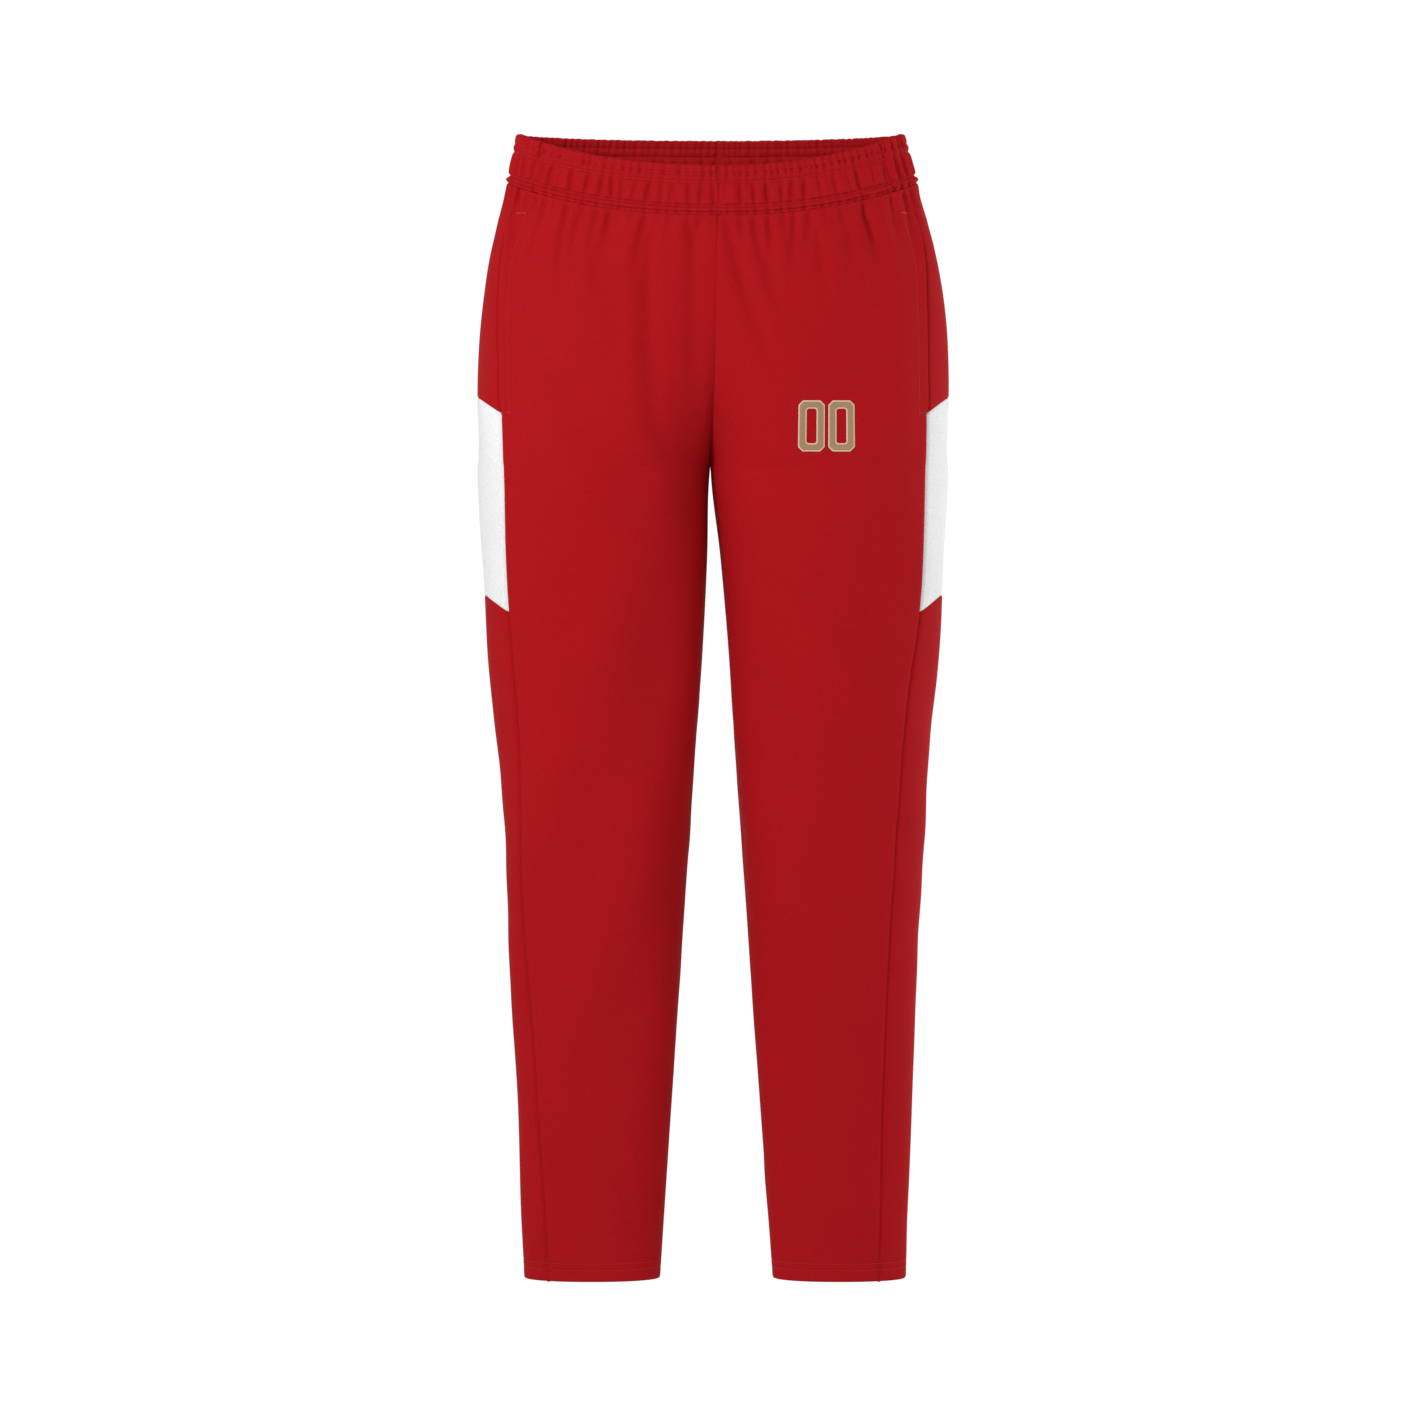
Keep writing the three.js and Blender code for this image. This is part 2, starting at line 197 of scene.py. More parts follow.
def column_tables(side):
    """For each height and column, the angle round the leg and the distance round it from the centre front."""
    angles = np.empty((len(TABLE_Z), len(TABLE_COLUMNS)))
    arcs = np.empty_like(angles)
    for i, z in enumerate(TABLE_Z):
        centre, front_seam = seam_angle(z), -side_angle(z, side)
        back_seam = side_angle(z, side, BACK_INSET_EXTRA)
        spans = (
            (-centre, front_seam, 0, SIDE_FRONT),
            (front_seam, back_seam, SIDE_FRONT, SIDE_BACK),
            (back_seam, centre, SIDE_BACK, CENTRE_BACK),
        )
        done = 0.0
        for start, end, first, last in spans:
            steps = np.linspace(start, end, 61)
            x, y = skin(z, steps)
            lengths = np.concatenate([[0], np.cumsum(np.hypot(np.diff(x), np.diff(y)))])
            here = (TABLE_COLUMNS >= first) & (TABLE_COLUMNS <= last)
            wanted = (TABLE_COLUMNS[here] - first) / (last - first) * lengths[-1]
            angles[i, here] = np.interp(wanted, lengths, steps)
            arcs[i, here] = done + wanted
            done += lengths[-1]
    return angles, arcs


TABLES = {side: column_tables(side) for side in (LEFT, RIGHT)}


def look_up(table, z, column):
    """Reads a table between its rows and columns."""
    r = np.clip((TABLE_Z[0] - z) / (TABLE_Z[0] - TABLE_Z[1]), 0, len(TABLE_Z) - 1.001)
    c = np.clip(np.asarray(column, float) * STEPS_IN_COLUMN, 0, len(TABLE_COLUMNS) - 1.001)
    r, c = np.broadcast_arrays(r, c)
    i, j = r.astype(int), c.astype(int)
    fr, fc = r - i, c - j
    top = table[i, j] * (1 - fc) + table[i, j + 1] * fc
    bottom = table[i + 1, j] * (1 - fc) + table[i + 1, j + 1] * fc
    return top * (1 - fr) + bottom * fr


def column_angle(side, z, column):
    """The angle round the leg at a height and column."""
    return look_up(TABLES[side][0], z, column)


def arc(side, z, column):
    """The distance round the leg from the centre front."""
    return look_up(TABLES[side][1], z, column)


def band_top(side, column):
    """The height of the waistband's top edge at a column."""
    angle = column_angle(side, -BAND_HEIGHT, column)
    return -np.where(angle < 0, FRONT_DIP, BACK_DIP) * np.sin(angle) ** 2


# ---- Relief: gathers, folds and seams that stand out of the smooth shape ----

# The front's long folds: the distance from the centre front where each starts below the waistband and
# where it ends, its reach down, how far it stands out (a crease is less than 0), and its width.
LONG_FOLDS = {
    LEFT: (
        (8, 68, 180, -3.4, 9),
        (30, 62, 110, -2.2, 6),
        (54, 64, 90, 2.0, 9),
        (84, 98, 110, -2.4, 7),
        (112, 118, 150, -2.2, 8),
        (128, 150, 70, -2.6, 5),
        (146, 158, 150, 1.8, 10),
    ),
    RIGHT: (
        (20, 14, 230, -2.0, 8),
        (53, 50, 290, -2.8, 9),
        (70, 66, 260, 2.2, 12),
        (90, 97, 95, -2.6, 6),
        (118, 112, 120, -2.2, 7),
        (140, 150, 90, -2.2, 7),
    ),
}


def gather_positions(side, pitch, seed):
    """Irregular places round half the waist, each with a strength from 0 to 1 and a lean."""
    rng = random.Random(seed * 10 + side)
    half_waist = float(arc(side, -BAND_HEIGHT, CENTRE_BACK))
    place = rng.uniform(0.2, 0.8) * pitch
    found = []
    while place < half_waist:
        found.append((place, rng.random(), rng.uniform(-1, 1)))
        place += pitch * rng.uniform(0.7, 1.35)
    return found


GATHERS = {side: gather_positions(side, 11.5, 4) for side in (LEFT, RIGHT)}
PUCKERS = {side: gather_positions(side, 6.6, 9) for side in (LEFT, RIGHT)}


def bump(distance, width):
    """1 at no distance, falling smoothly to 0 past the width."""
    return np.exp(-((distance / width) ** 2))


def smooth_step(value):
    """0 up to 0, 1 from 1 on, with a smooth rise between."""
    t = np.clip(value, 0, 1)
    return t * t * (3 - 2 * t)


def below_band(side, z, column):
    """How far the gathers and long folds below the waistband stand out."""
    across = arc(side, -BAND_HEIGHT, column)
    drop = band_top(side, column) - BAND_HEIGHT - z
    out = np.zeros(np.broadcast(across, drop).shape)
    for place, strength, lean in GATHERS[side]:
        reach = 30 + 95 * strength**2
        run = np.clip(drop / reach, 0, 1)
        line = place + (0.16 * (drop - 25) + 3.7) * lean
        crease = (1.9 + 3.3 * strength) * bump(across - line, 1.8 + 6.5 * run) * (1 - run) ** 1.3
        out -= crease * (0.35 + 0.65 * smooth_step(drop / 7))
    for start, end, reach, height, width in LONG_FOLDS[side]:
        run = np.clip(drop / reach, 0, 1)
        line = start + (end - start) * run**1.3
        swell = smooth_step(drop / 14) * (1 - smooth_step((run - 0.35) / 0.65))
        out += height * bump(across - line, width * (0.5 + 0.8 * run)) * swell
    return out


# The slanted fold on the right shin, the knees' height, and where the draws for the broad waves start.
SHIN_FOLD_COLUMN, SHIN_FOLD_Z = 5.8, -906
KNEE_Z = -640
DRAPE_SEED = 70


def drape(side, z, column):
    """Broad, shallow waves down the legs and over the seat."""
    rng = random.Random(DRAPE_SEED + side)
    across = arc(side, z, column)
    out = np.zeros(np.broadcast(across, z).shape)
    for _ in range(9):
        width, height = rng.uniform(70, 150), rng.uniform(240, 520)
        phase, slant = rng.uniform(0, 2 * math.pi), rng.choice((-1, 1))
        out += np.sin(2 * math.pi * (across / width + slant * z / height) + phase)
    if side == RIGHT:
        shin_line = SHIN_FOLD_COLUMN - 2.4 * (SHIN_FOLD_Z - z) / 95
        out -= 3.6 * bump((column - shin_line) * 10, 8) * bump(z - SHIN_FOLD_Z + 50, 55)
    knee = bump(z - KNEE_Z, 130) * np.sin(2 * math.pi * (z + 0.5 * across) / 74 + side)
    fade = smooth_step((-z - 60) / 120) * smooth_step((z - HEM_Z) / 60)
    return fade * (0.42 * out + 0.35 * knee)


def relief(side, z, column):
    """How far the cloth stands out of the smooth shape, fading out at the centre seams."""
    from_seams = np.minimum(column, CENTRE_BACK - np.asarray(column, float))
    return (below_band(side, z, column) + drape(side, z, column)) * smooth_step(from_seams / 0.7)


def placed(side, x, y, z):
    """Points in the row frame from X and Y on the left half."""
    sway = curve(z, SWAY, 1) + curve(z, SWAY, 2) * bump(x, SWAY_REACH)
    return np.stack([side * x + sway, y, np.broadcast_to(z, x.shape)], -1)


def body_point(side, z, column, depth=0.0):
    """A point of the shell's outer face, with its relief, moved in by depth."""
    angle = column_angle(side, z, column)
    x, y = skin(z, angle, depth - relief(side, z, column))
    return placed(side, x, y, z)


# ---- Meshes ----

def finish_piece(obj, material, nodes=()):
    """Gives a piece its material, the CAD nodes that it replaces, and the body that it rides on."""
    obj.data.materials.append(material)
    if nodes:
        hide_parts(*nodes)
    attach(obj, ROOT)
    return obj


def make_mesh(name, points, faces, uvs=None):
    """A mesh object from points in millimetres. uvs has one pair for each point."""
    mesh = bpy.data.meshes.new(name)
    mesh.from_pydata((np.asarray(points) * MM).tolist(), [], faces)
    if uvs is not None:
        layer = mesh.uv_layers.new(name="cloth")
        corners = np.empty(len(mesh.loops), int)
        mesh.loops.foreach_get("vertex_index", corners)
        layer.data.foreach_set("uv", (np.asarray(uvs)[corners] * MM).ravel())
    mesh.polygons.foreach_set("use_smooth", [True] * len(mesh.polygons))
    mesh.update()
    obj = bpy.data.objects.new(name, mesh)
    bpy.context.scene.collection.objects.link(obj)
    return obj


def grid_normals(grid, wraps=False):
    """Unit normals of a grid of points, [row, column, xyz]."""
    down = np.gradient(grid, axis=0)
    if wraps:
        across = np.roll(grid, -1, 1) - np.roll(grid, 1, 1)
    else:
        across = np.gradient(grid, axis=1)
    normal = np.cross(across, down)
    return normal / np.maximum(np.linalg.norm(normal, axis=2, keepdims=True), 1e-9)


def cloth_piece(name, grid, thickness, uv, out_side, wraps=False):
    """A closed piece of cloth from its outer face, a grid of points. out_side is 1 or -1: the sign that
    turns the grid's normals out of the cloth."""
    rows, columns = grid.shape[:2]
    inner = grid - grid_normals(grid, wraps) * out_side * thickness
    points = np.concatenate([grid.reshape(-1, 3), inner.reshape(-1, 3)])
    uvs = np.concatenate([uv.reshape(-1, 2)] * 2)
    index = np.arange(rows * columns).reshape(rows, columns)
    if wraps:
        index = np.concatenate([index, index[:, :1]], 1)
    a, b = index[:-1, :-1], index[1:, :-1]
    d, c = index[:-1, 1:], index[1:, 1:]
    outside = np.stack([a, b, c, d], -1).reshape(-1, 4)
    inside = np.stack([a, d, c, b], -1).reshape(-1, 4) + rows * columns
    edges = [(index[0, :-1], index[0, 1:]), (index[-1, 1:], index[-1, :-1])]
    if not wraps:
        edges += [(index[1:, 0], index[:-1, 0]), (index[:-1, -1], index[1:, -1])]
    rims = [np.stack([p, q, q + rows * columns, p + rows * columns], -1) for p, q in edges]
    faces = np.concatenate([outside, inside, *rims])
    if out_side > 0:
        faces = faces[:, ::-1]
    return make_mesh(name, points, faces.tolist(), uvs)


def spaced(stops):
    """Numbers from the first stop to the last, at each stop's own spacing from there on."""
    parts = []
    for (start, step), (end, _) in zip(stops, stops[1:]):
        count = max(1, round(abs(end - start) / step))
        parts.append(np.linspace(start, end, count, endpoint=False))
    return np.concatenate([*parts, [stops[-1][0]]])


def columns_between(first, last, step=0.15):
    """Columns of a piece between two seams, closer together at the seams. The first and the last come
    twice, once for the seam allowance that is turned in."""
    near = np.array([0, 0, 0.03, 0.06, 0.1, 0.16])
    middle = np.linspace(first + 0.25, last - 0.25, round((last - first - 0.5) / step) + 1)
    return np.concatenate([first + near, middle, last - near[::-1]])


def turned_in(count, depth, ends=(True, True)):
    """How deep each point of a row lies when its end points are a seam allowance turned in."""
    deep = np.zeros(count)
    if ends[0]:
        deep[0] = depth
    if ends[1]:
        deep[-1] = depth
    return deep


def close_centre(side, grid, end, neighbour):
    """Brings a panel's edge to the centre seam and turns its allowance in. Down the inside of the leg, the
    allowance is turned in towards the leg's middle."""
    edge = grid[:, neighbour]
    x, y, z = edge[:, 0], edge[:, 1], edge[:, 2]
    rise = smooth_step((z - CROTCH_Z) / 4)
    middle = curve(z, SWAY, 1) + curve(z, SWAY, 2) - side * 0.02
    reach = np.minimum(4.5, 0.8 * np.abs(y))
    grid[:, end, 0] = rise * middle + (1 - rise) * (x + side * 3)
    grid[:, end, 1] = y - np.sign(y) * reach * rise
    grid[:, neighbour, 0] = rise * middle + (1 - rise) * x


def pocket_mouth(z):
    """1 along the pocket's mouth, 0 above and below it."""
    return smooth_step((POCKET_TOP + 6 - z) / 14) * smooth_step((z - POCKET_BOTTOM + 6) / 14)


def seam_roll(side, z, column, seams, width=1.3):
    """How far a piece's edges turn in at the seams that it is sewn along."""
    roll = np.zeros(np.broadcast(z, column).shape)
    below = band_top(side, np.zeros(1)) - BAND_HEIGHT - z
    for seam in seams:
        distance = arc(side, z, column) - arc(side, z, seam)
        depth = 1.7
        if seam in (0, CENTRE_BACK):
            depth = 0.2 + 1.0 * bump(below, 24)
        if seam == SIDE_FRONT:
            on_front = seams[0] == 0
            depth = 1.7 * (1 - pocket_mouth(z)) if on_front else 1.7 + 3.2 * pocket_mouth(z)
        roll += depth * bump(distance, width * (1.5 if seam == SIDE_FRONT else 1))
    return roll


def panel_grid(side, columns, top, bottom, shares, seams, hem=False, lift=None):
    """The outer face of a panel between two heights at each column, with a turned-up hem if asked."""
    column = columns[None, :]
    z = top(columns)[None, :] + shares[:, None] * (bottom(columns) - top(columns))[None, :]
    depth = seam_roll(side, z, column, seams)
    if lift is not None:
        depth = depth - lift(z, column)
    if hem:
        rise = z - HEM_Z
        for row in HEM_ROWS:
            depth = depth + 0.4 * bump(rise - row, 1.0)
        depth = depth + 0.7 * bump(rise, 0.8)
    depth = depth + turned_in(len(shares), END_ALLOWANCE, (True, not hem))[:, None]
    grid = body_point(side, z, column, depth + turned_in(len(columns), SEAM_ALLOWANCE)[None, :])
    for seam, end, neighbour in ((0, 0, 1), (CENTRE_BACK, -1, -2)):
        if seam in seams:
            close_centre(side, grid, end, neighbour)
    across = arc(side, z, column) - arc(side, z, (columns[0] + columns[-1]) / 2)
    uv = np.stack([across, z], -1)
    if not hem:
        return grid, uv
    turn = [(0.0, 1.3)] + [(rise, 1.9) for rise in (0.5, 3, 8, 10.5, 14, 17, 20, HEM_TURN)]
    inside = [body_point(side, HEM_Z + rise, columns, deep) for rise, deep in turn]
    more_uv = [np.stack([across[-1], np.full(len(columns), HEM_Z - 1 - rise)], -1) for rise, _ in turn]
    return np.concatenate([grid, np.stack(inside)]), np.concatenate([uv, np.stack(more_uv)])


def declare_cut(piece, side, first, last, top, bottom, edge=0.0, head=0.0, foot=0.0):
    """Works out the area of cloth cut to the smooth shape between two columns and two lines, laid flat, with
    allowances along its long edges, its head and its foot. Gathers, folds and rolled seams don't count. The
    area is not kept."""
    columns = np.linspace(first, last, 60)
    z = top(columns) + np.linspace(0, 1, 150)[:, None] * (bottom(columns) - top(columns))
    x, y = skin(z, column_angle(side, z, columns))
    shape = np.stack([x, y, z], -1)
    down, across = np.diff(shape, axis=0), np.diff(shape, axis=1)
    widths = np.linalg.norm(across, axis=2).sum(1)
    lengths = np.linalg.norm(down, axis=2).sum(0)
    area = np.linalg.norm(np.cross(down[:, :-1], across[:-1]), axis=2).sum()
    area += 2 * edge * lengths.mean() + head * widths[0] + foot * widths[-1]


def panel_shares(top, bottom):
    """Shares of a long panel's height at its rows: close at the gathers and at the hem."""
    stops = [(top, 1.8), (-165, 2.8), (POCKET_BOTTOM + 6, 0.8), (POCKET_BOTTOM - 6, 2.8), (-330, 4.2)]
    stops += [(HEM_FINE_Z, 1.4), (bottom + 1.2, 0.4), (bottom, 1)]
    heights = spaced(stops)
    return np.concatenate([[0], (heights - top) / (bottom - top)])


def band_seam(side):
    """The line where the panels meet the waistband."""

    def line(column):
        return band_top(side, column) - BAND_HEIGHT - BAND_GAP

    return line


def hem_line(column):
    """The line of the hem's edge."""
    return np.full(np.shape(column), float(HEM_Z))


def slanted(z):
    """The slanted line across the side panel that is at height z at its front seam. Its slight wave makes
    it look straight from the front."""

    def line(column):
        share = (np.asarray(column, float) - SIDE_FRONT) / (SIDE_BACK - SIDE_FRONT)
        return z + INSERT_SLANT * share + INSERT_WAVE * np.sin(2 * math.pi * share)

    return line


def cross_seams(lines):
    """A side panel's ends turn in along the lines where they are sewn across."""

    def lift(z, column):
        rolled = np.zeros(np.broadcast(z, column).shape)
        for line in lines:
            rolled -= 0.8 * bump(z - line(column), 1.2)
        return rolled

    return lift


def pocket_lift(side):
    """The front panel's free edge stands out a little along the pocket's mouth, most of all at its top."""

    def lift(z, column):
        distance = arc(side, z, SIDE_FRONT) - arc(side, z, column)
        gape = 0.9 + 1.6 * bump(z - POCKET_TOP + 16, 15)
        pinch = 1.5 * bump(z - POCKET_BOTTOM + 2.2, 1.3) * smooth_step((12 - distance) / 4)
        return pocket_mouth(z) * gape * bump(distance, 7) - pinch

    return lift


# ---- Materials ----


def node(tree, kind, **inputs):
    made = tree.nodes.new(kind)
    for name, value in inputs.items():
        made.inputs[name].default_value = value
    return made


def math_node(tree, operation, *values):
    made = tree.nodes.new("ShaderNodeMath")
    made.operation = operation
    for socket, value in zip(made.inputs, values):
        if hasattr(value, "is_output"):
            tree.links.new(value, socket)
        else:
            socket.default_value = value
    return made.outputs[0]


def shaded(name, colour, roughness, specular, sheen):
    """A new material and its tree, shader and colour-variation noise, with the fixed sockets set."""
    material = bpy.data.materials.new(name)
    material.use_nodes = True
    tree = material.node_tree
    shader = tree.nodes["Principled BSDF"]
    shader.inputs["Roughness"].default_value = roughness
    shader.inputs["Specular IOR Level"].default_value = specular
    shader.inputs["Sheen Weight"].default_value = sheen
    shader.inputs["Sheen Roughness"].default_value = 0.45
    shader.inputs["Sheen Tint"].default_value = (*colour, 1)
    return material, tree, shader


def tint(tree, shader, colour, fine, fine_size, broad):
    """Colours the shader with a fine and a broad noise round one colour."""
    place = tree.nodes.new("ShaderNodeTexCoord").outputs["Object"]
    small = node(tree, "ShaderNodeTexNoise", Scale=1 / (fine_size * MM), Detail=2.0)
    large = node(tree, "ShaderNodeTexNoise", Scale=14.0, Detail=2.0)
    for noise in (small, large):
        tree.links.new(place, noise.inputs["Vector"])
    fine_part = math_node(tree, "MULTIPLY_ADD", small.outputs["Fac"], fine, 1 - fine / 2)
    broad_part = math_node(tree, "MULTIPLY_ADD", large.outputs["Fac"], broad, 1 - broad / 2)
    value = math_node(tree, "MULTIPLY", fine_part, broad_part)
    scaled = node(tree, "ShaderNodeVectorMath")
    scaled.operation = "SCALE"
    scaled.inputs[0].default_value = colour
    tree.links.new(value, scaled.inputs["Scale"])
    tree.links.new(scaled.outputs[0], shader.inputs["Base Color"])


def knit(name, colour, specular=0.09, wale=0.95, course=0.7, strength=0.55):
    """Fine warp knit: columns of slanted loops from the cloth's own UVs, with a soft fuzz."""
    material, tree, shader = shaded(name, colour, 0.82, specular, 0.06)
    tint(tree, shader, colour, 0.5, 1.3, 0.10)
    uv = tree.nodes.new("ShaderNodeUVMap")
    uv.uv_map = "cloth"
    split = tree.nodes.new("ShaderNodeSeparateXYZ")
    tree.links.new(uv.outputs[0], split.inputs[0])
    across = math_node(tree, "MULTIPLY", split.outputs[0], math.pi / (wale * MM))
    column = math_node(tree, "ABSOLUTE", math_node(tree, "SINE", across))
    slant = math_node(tree, "MULTIPLY", column, 2.2)
    up = math_node(tree, "MULTIPLY_ADD", split.outputs[1], 2 * math.pi / (course * MM), slant)
    loop = math_node(tree, "MULTIPLY_ADD", math_node(tree, "SINE", up), 0.3, 0.5)
    height = math_node(tree, "MULTIPLY_ADD", column, 0.7, loop)
    raised = node(tree, "ShaderNodeBump", Strength=strength, Distance=0.12 * MM)
    tree.links.new(height, raised.inputs["Height"])
    tree.links.new(raised.outputs[0], shader.inputs["Normal"])
    return material


def film(name, colour):
    """Heat-pressed film: smooth, slightly soft in gloss, with the cloth's grain showing through."""
    material, tree, shader = shaded(name, colour, 0.6, 0.25, 0.0)
    tint(tree, shader, colour, 0.10, 1.0, 0.05)
    grain = node(tree, "ShaderNodeTexNoise", Scale=1100.0, Detail=2.0)
    place = tree.nodes.new("ShaderNodeTexCoord").outputs["Object"]
    tree.links.new(place, grain.inputs["Vector"])
    raised = node(tree, "ShaderNodeBump", Strength=0.35, Distance=0.1 * MM)
    tree.links.new(grain.outputs["Fac"], raised.inputs["Height"])
    tree.links.new(raised.outputs[0], shader.inputs["Normal"])
    return material


def thread(name, colour):
    """Spun polyester thread with a faint twist."""
    material, tree, shader = shaded(name, colour, 0.55, 0.3, 0.1)
    tint(tree, shader, colour, 0.2, 0.8, 0.06)
    return material


RED = (0.36, 0.0040, 0.0070)
red_knit = knit("red_knit", RED)
white_knit = knit("white_knit", (0.765, 0.765, 0.765))
lining_knit = knit("lining_knit", (0.34, 0.004, 0.007), wale=0.7, course=0.5)
elastic_weave = knit("elastic_weave", (0.6, 0.58, 0.54), wale=1.6, course=0.9, strength=0.8)
red_thread = thread("red_thread", (0.44, 0.016, 0.021))
cream_film = film("cream_film", (0.66, 0.50, 0.36))
gold_film = film("gold_film", (0.315, 0.205, 0.107))

# ---- Panels ----


def add_panels(side):
    """The front and back panels and the side panel's three lengths."""
    label = LABEL[side]
    seam, hem = band_seam(side), hem_line
    shares = panel_shares(PANEL_TOP_Z, HEM_Z)
    out_side = -side

    columns = columns_between(0, SIDE_FRONT)
    seams = (0, SIDE_FRONT)
    grid, uv = panel_grid(side, columns, seam, hem, shares, seams, True, pocket_lift(side))
    front = cloth_piece(f"front_panel_cloth_{label}", grid, CLOTH, uv, out_side)
    finish_piece(front, red_knit, [f"front_panel_{label}"])
    declare_cut(front, side, 0, SIDE_FRONT, seam, hem, SEAM_ALLOWANCE, END_ALLOWANCE, HEM_TURN)

    columns = columns_between(SIDE_BACK, CENTRE_BACK)
    seams = (SIDE_BACK, CENTRE_BACK)
    grid, uv = panel_grid(side, columns, seam, hem, shares, seams, True)
    back = cloth_piece(f"back_panel_cloth_{label}", grid, CLOTH, uv, out_side)
    finish_piece(back, red_knit, [f"back_panel_{label}"])
    declare_cut(back, side, SIDE_BACK, CENTRE_BACK, seam, hem, SEAM_ALLOWANCE, END_ALLOWANCE, HEM_TURN)

    columns = columns_between(SIDE_FRONT, SIDE_BACK)
    seams = (SIDE_FRONT, SIDE_BACK)
    top, bottom = slanted(INSERT_TOP), slanted(INSERT_BOTTOM)
    parts = (
        ("side_panel_upper", seam, top, SIDE_TOP_Z, INSERT_TOP, red_knit, "shell_knit", (top,)),
        ("side_insert", top, bottom, INSERT_TOP, INSERT_BOTTOM, white_knit, "insert_knit", (top, bottom)),
        ("side_panel_lower", bottom, hem, INSERT_BOTTOM, HEM_Z, red_knit, "shell_knit", (bottom,)),
    )
    for name, start, end, z_start, z_end, material, slot, sewn in parts:
        hemmed = name == "side_panel_lower"
        if hemmed:
            stops = [(z_start, 0.7), (z_start - 5, 4.2), (HEM_FINE_Z, 1.4), (z_end + 1.2, 0.4), (z_end, 1)]
        else:
            stops = [(z_start, 0.7), (z_start - 5, 3.2), (z_end + 5, 0.7), (z_end, 1)]
        heights = spaced(stops)
        part_shares = np.concatenate([[0], (heights - z_start) / (z_end - z_start)])
        if not hemmed:
            part_shares = np.append(part_shares, 1)

        lift = cross_seams(sewn)
        grid, uv = panel_grid(side, columns, start, end, part_shares, seams, hemmed, lift)
        piece = cloth_piece(f"{name}_cloth_{label}", grid, CLOTH, uv, out_side)
        finish_piece(piece, material, [f"{name}_{label}"])
        foot = HEM_TURN if hemmed else END_ALLOWANCE
        declare_cut(piece, side, *seams, start, end, SEAM_ALLOWANCE, END_ALLOWANCE, foot)


# ---- Waistband ----

# Falls of the four rows of stitches below the top edge, and of the ridge between the lower two.
BAND_ROWS = (8.0, 15.3, 36.5, 43.0)
BAND_RIDGE = 39.8
# How deep the inner wall and the elastic lie, and how far each wall's creases may go.
BAND_DEEP, ELASTIC_DEEP = 7.0, 3.7
OUTER_WALL_LIMIT, INNER_WALL_LIMIT = 2.5, 5.8


def band_relief(side, fall, column, walls):
    """How far the waistband stands out at a fall below its top edge; walls is 1 outside and -1 inside."""
    across = arc(side, -BAND_HEIGHT, column)
    fine = np.zeros(np.broadcast(across, fall).shape)
    main = np.zeros_like(fine)
    belly = np.sin(math.pi * np.clip((fall - BAND_ROWS[1]) / (BAND_ROWS[2] - BAND_ROWS[1]), 0, 1))
    for place, strength, lean in PUCKERS[side]:
        line = place + 0.06 * lean * fall + (0 if walls > 0 else 3)
        fine += (0.3 + strength) * bump(across - line, 1.5)
    for place, strength, lean in GATHERS[side]:
        line = place + 0.16 * lean * (fall - 25) + (0 if walls > 0 else 4)
        main += (0.35 + 0.9 * strength) * bump(across - line, 1.6 + 1.2 * belly)
    upper = smooth_step((BAND_ROWS[1] - fall) / 5)
    lower = smooth_step((fall - BAND_ROWS[2]) / 3)
    out = -1.7 * fine * upper - (3.3 * main + 0.7 * fine) * belly**0.6 - 0.8 * main
    out = out + 1.3 * belly**0.7 + 0.9 * upper + 0.5 * lower - lower * (1.0 * fine + 1.0 * main)
    out = out + 1.1 * bump(fall - BAND_RIDGE, 2.2)
    for row in BAND_ROWS:
        out -= ((0.9 if row < 20 else 1.9) + 0.9 * fine) * bump(fall - row, 1.3)
    return out


def band_point(side, fall, column, walls, extra=0.0):
    """A point of the waistband's outer (walls 1) or inner (walls -1) face, with its gathers."""
    z = band_top(side, column) - fall
    angle = column_angle(side, np.maximum(z, -90), column)
    out = band_relief(side, fall, column, walls)
    if walls > 0:
        depth = np.minimum(-out - extra, OUTER_WALL_LIMIT)
    else:
        depth = np.maximum(BAND_DEEP + out + extra, INNER_WALL_LIMIT)
    x, y = skin(z, angle, depth)
    return placed(side, x, y, z)


def add_elastic():
    """The closed loop of elastic in the casing."""
    columns = np.linspace(0, CENTRE_BACK, 261)
    falls = np.linspace(3, 41, 40)[:, None]
    halves = []
    for side in (LEFT, RIGHT):
        waves = np.sin(arc(side, -BAND_HEIGHT, columns) / 2.4)
        ripple = 0.25 * waves * np.sin(columns * math.pi / CENTRE_BACK)
        z = band_top(side, columns) - falls
        x, y = skin(z, column_angle(side, z, columns), ELASTIC_DEEP + ripple)
        halves.append(placed(side, x, y, z))
    grid = np.concatenate([halves[0][:, :-1], halves[1][:, :0:-1]], 1)
    across = np.arange(grid.shape[1]) * 3.7
    uv = np.stack(np.broadcast_arrays(across[None, :], falls), -1)
    piece = cloth_piece("waist_elastic_band", grid, 0.9, uv, -1, wraps=True)
    finish_piece(piece, elastic_weave, ["waist_elastic"])


